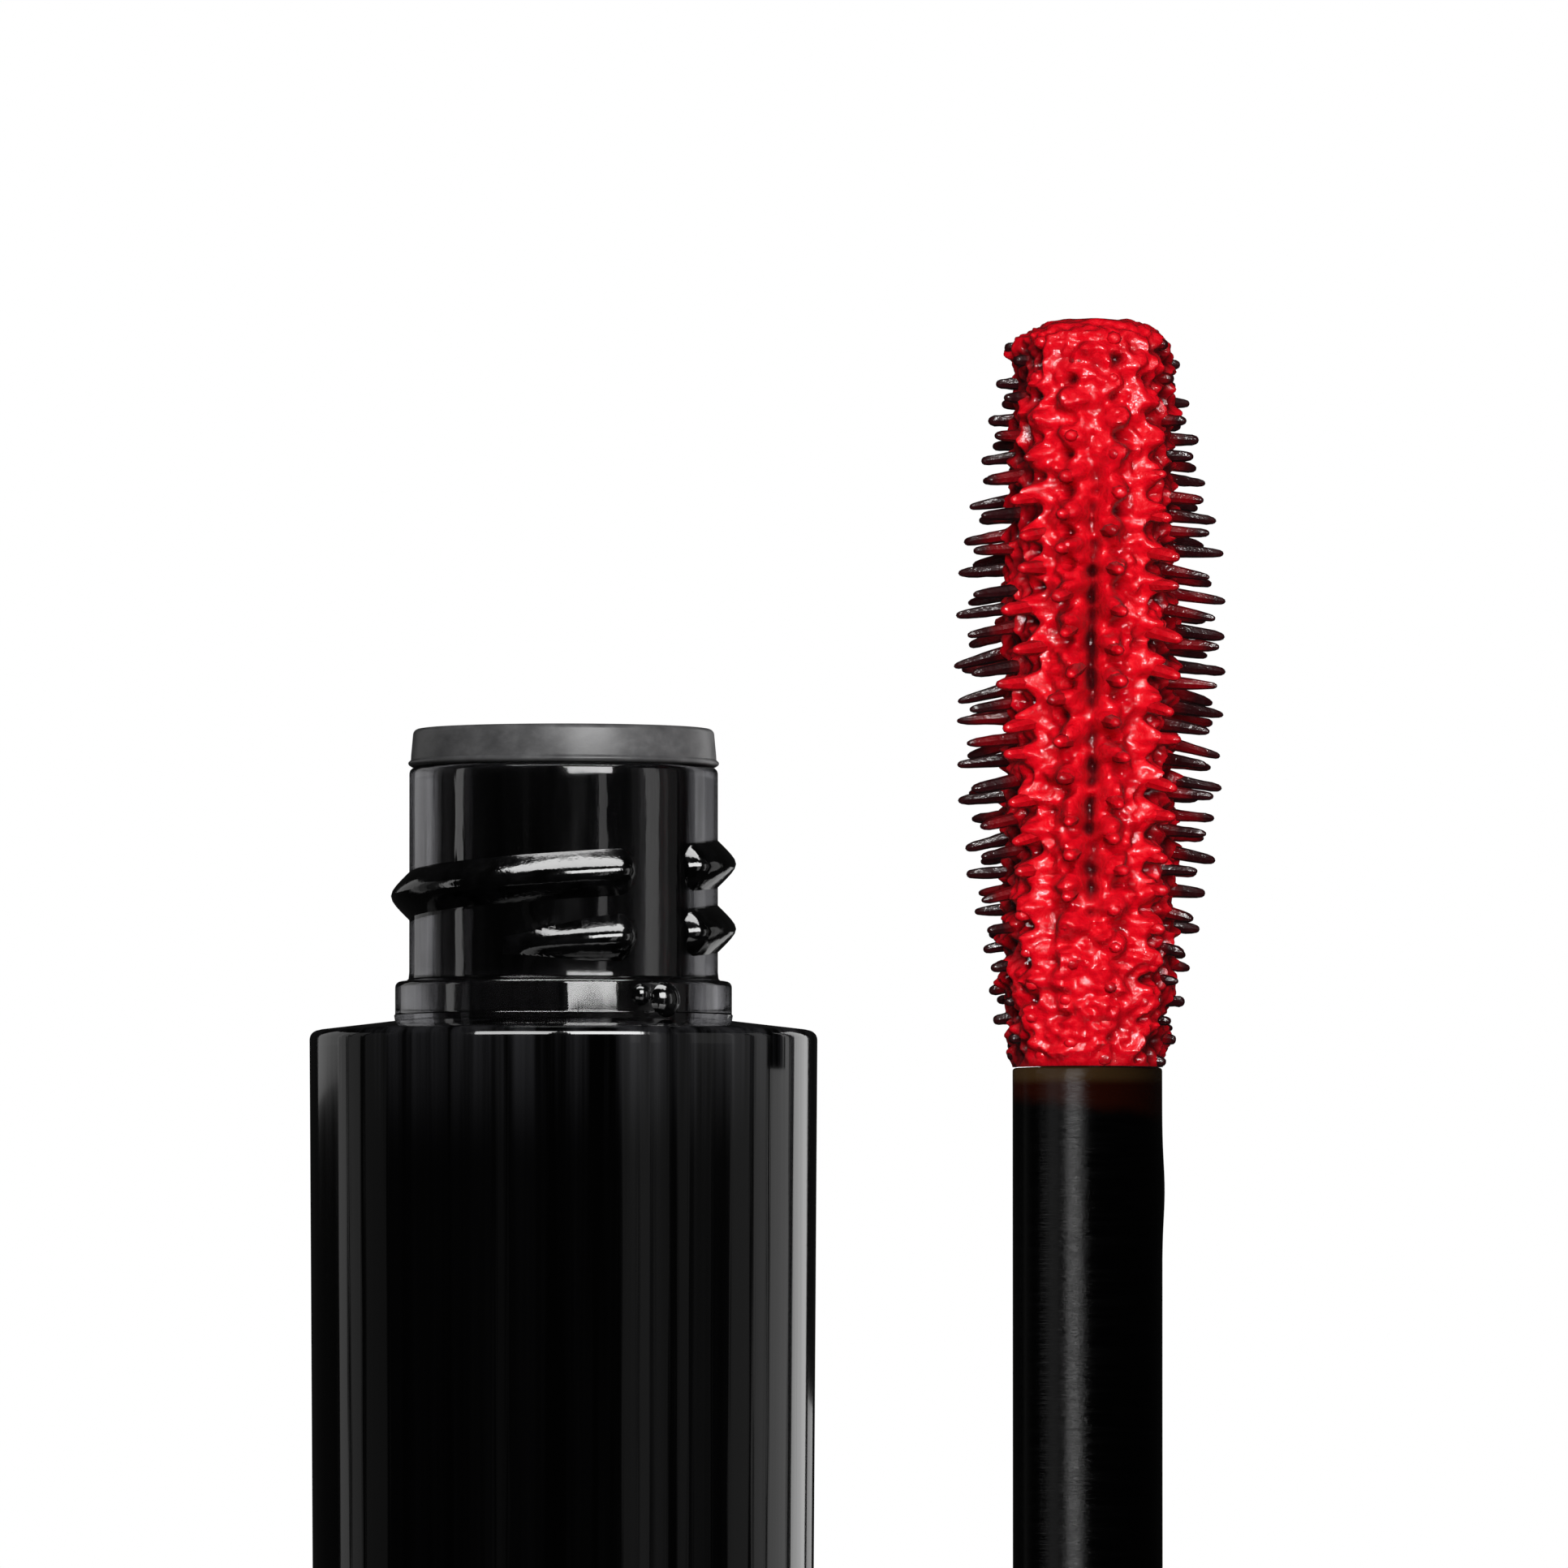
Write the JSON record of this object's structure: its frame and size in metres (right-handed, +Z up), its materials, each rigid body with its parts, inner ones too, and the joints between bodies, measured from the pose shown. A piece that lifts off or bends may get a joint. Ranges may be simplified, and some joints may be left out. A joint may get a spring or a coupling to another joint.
{
  "type": "mascara tube",
  "caption": "Slim round tube with a threaded wiper neck, and a screw cap whose stem carries a moulded bristle brush, standing open beside it.",
  "frame": {"origin": "centre of the bottle's base, where it stands", "axes": "+Z up along the bottle's axis, +X towards the wand that stands beside it, -Y towards a person looking at both"},
  "size_m": [0.0386, 0.019, 0.1001],
  "materials": {
    "bottle_shell": "polished, smoke tinted",
    "base_plug": "fine spark texture",
    "inner_vial": "polished, smoke tinted, translucent",
    "wiper": "satin",
    "formula_lining": "wet, thick",
    "cap_shell": "polished",
    "inner_cap": "satin",
    "cap_seal_ring": "foamed",
    "cap_weight": "turned",
    "stem": "satin, finely drawn along its length",
    "brush_core": "satin",
    "bristle_sleeve": "moulded bristles, wet with formula",
    "brush_stiffener_pin": "drawn wire"
  },
  "bodies": {
    "bottle": {"bottle_shell": "bottle_shell", "base_plug": "base_plug", "inner_vial": "inner_vial", "wiper": "wiper", "formula_lining": "formula_lining"},
    "turned_over": {"brush_stiffener_pin": "brush_stiffener_pin"},
    "inserted": {"cap_weight": "cap_weight"},
    "raised": {"cap_seal_ring": "cap_seal_ring"},
    "wand": {"cap_shell": "cap_shell", "inner_cap": "inner_cap", "stem": "stem", "brush_core": "brush_core", "bristle_sleeve": "bristle_sleeve"}
  },
  "joints": [
    {"name": "wand_turnover", "type": "hinge", "parent": "bottle", "child": "turned_over", "pos_m": [0.0098, 0, 0.096], "axis": [0, -1, 0], "range_deg": [0, 180]},
    {"name": "wand_insertion", "type": "slide", "parent": "turned_over", "child": "inserted", "axis": [0, 0, 1], "range_m": [0, 0.07605], "deforming": ["bristle_sleeve"]},
    {"name": "cap_rise", "type": "slide", "parent": "inserted", "child": "raised", "axis": [0, 0, 1], "range_m": [0, 0.00366]},
    {"name": "cap_turn", "type": "hinge", "parent": "raised", "child": "wand", "pos_m": [0.0196, 0, 0.019], "axis": [0, 0, 1], "range_deg": [0, 540]}
  ],
  "couplings": [
    {"joint": "cap_rise", "follows": "cap_turn", "m_per_rad": 0.00038675}
  ]
}
